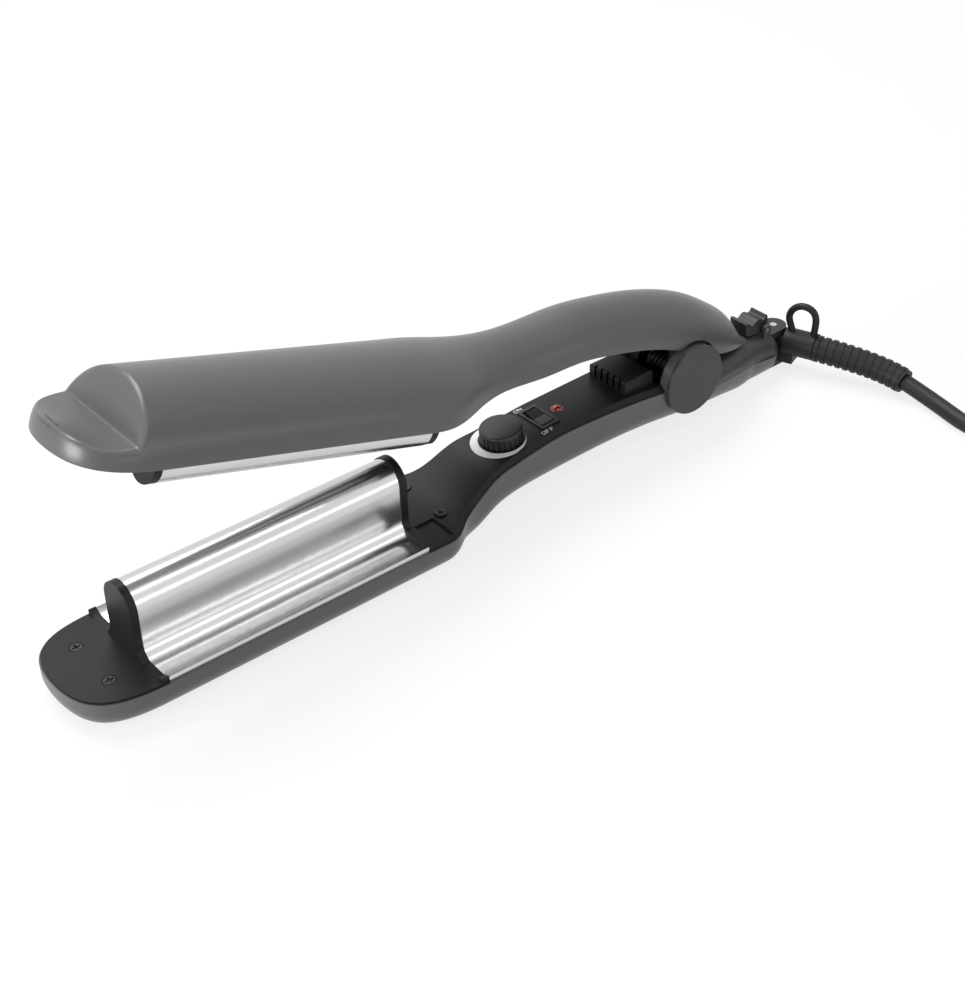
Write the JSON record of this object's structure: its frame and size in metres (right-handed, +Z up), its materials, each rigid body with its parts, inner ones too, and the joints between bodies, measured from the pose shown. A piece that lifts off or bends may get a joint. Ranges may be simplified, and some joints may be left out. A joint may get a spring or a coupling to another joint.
{
  "type": "hair waver",
  "caption": "Deep-wave hair styling iron: a ridged heated plate below, a grooved one above, on long sprung arms with a dial, rocker switch, lock and swivel cord.",
  "frame": {"origin": "centre of the flat face under the lower head, midway along the heating plate, on the surface the tool rests on", "axes": "+X along the arms from the nose to the cord, +Z up from the table, +Y across so that the cord leaves towards -Y"},
  "size_m": [0.5127, 0.1727, 0.118],
  "materials": {
    "shell_grey": "semi-matte moulded dark grey",
    "cover_black": "satin black",
    "plate_metal": "polished, fine lengthwise lines",
    "screw_steel": "blackened",
    "pin_steel": "ground",
    "spring_steel": "drawn wire",
    "heater_metal": "mill",
    "sensor_glass": "bead",
    "board_green": "solder mask",
    "part_black": "moulded",
    "part_white": "moulded",
    "knob_black": "satin",
    "cap_black": "satin",
    "scale_light": "printed",
    "lamp_red": "clear dark red",
    "led_clear": "epoxy",
    "wire_white": "silicone",
    "wire_brown": "insulation",
    "cord_rubber": "matte"
  },
  "bodies": {
    "lower_arm": {"lower_shell": "shell_grey", "lower_nose_cover": "cover_black", "handle_cover": "cover_black", "barrel_cover": "shell_grey", "lower_plate": "plate_metal", "lower_nose_screws": "screw_steel", "lower_neck_screws": "screw_steel", "lower_heater": "heater_metal", "lower_heater_clamps": "spring_steel", "lower_sensor": "sensor_glass", "thermal_fuse": "heater_metal", "control_board": "board_green", "board_screws": "screw_steel", "potentiometer": "part_black", "dial_scale": "scale_light", "switch_housing": "knob_black", "lamp_lens": "lamp_red", "indicator_led": "led_clear", "lower_heater_wires": "wire_white", "mains_wires": "wire_brown", "cord_clamp": "part_black", "cord_clamp_screws": "screw_steel", "hinge_pin": "pin_steel", "hinge_cap_left": "cap_black", "hinge_cap_right": "cap_black", "torsion_spring": "spring_steel", "spring_block": "cover_black", "lock_pin": "pin_steel"},
    "upper_arm": {"upper_shell": "shell_grey", "upper_nose_cover": "cover_black", "upper_inner_cover": "cover_black", "upper_plate": "plate_metal", "hinge_bushes": "part_white", "upper_heaters": "heater_metal", "upper_heater_springs": "spring_steel", "upper_sensor": "sensor_glass", "upper_heater_wires": "wire_white"},
    "dial": {"knob": "knob_black", "dial_shaft": "part_white"},
    "rocker": {"rocker": "knob_black"},
    "lock": {"lock_lever": "knob_black"},
    "swivel": {"swivel_collar": "part_black", "boot_pin": "pin_steel"},
    "boot": {"strain_relief": "cord_rubber", "cord": "cord_rubber", "cord_coil": "cord_rubber", "cord_tail": "cord_rubber", "coil_tie": "part_black", "plug_body": "part_black", "plug_pins": "pin_steel"}
  },
  "joints": [
    {"name": "arm_hinge", "type": "hinge", "parent": "lower_arm", "child": "upper_arm", "pos_m": [0.19825, 0, 0.0254], "axis": [0, -1, 0], "range_deg": [0, 16.4], "stiffness_Nm_per_rad": 1.5, "springref_deg": -34.38, "deforming": ["torsion_spring"]},
    {"name": "dial_turn", "type": "hinge", "parent": "lower_arm", "child": "dial", "pos_m": [0.11075, 0, 0.02604], "axis": [-0.1084, 0, 0.9941], "range_deg": [0, 270]},
    {"name": "rocker_tilt", "type": "hinge", "parent": "lower_arm", "child": "rocker", "pos_m": [0.12969, 0, 0.0253], "axis": [0.9986, 0, 0.0527], "range_deg": [-16, 0]},
    {"name": "lock_flip", "type": "hinge", "parent": "lower_arm", "child": "lock", "pos_m": [0.2525, 0, 0.0234], "axis": [0, 1, 0], "range_deg": [0, 35]},
    {"name": "collar_swivel", "type": "hinge", "parent": "lower_arm", "child": "swivel", "pos_m": [0.2558, 0, 0.0104], "axis": [1, 0, 0], "continuous": true},
    {"name": "boot_fold", "type": "hinge", "parent": "swivel", "child": "boot", "pos_m": [0.26375, 0, 0.0104], "axis": [0, 0, 1], "range_deg": [-8, 146]}
  ]
}
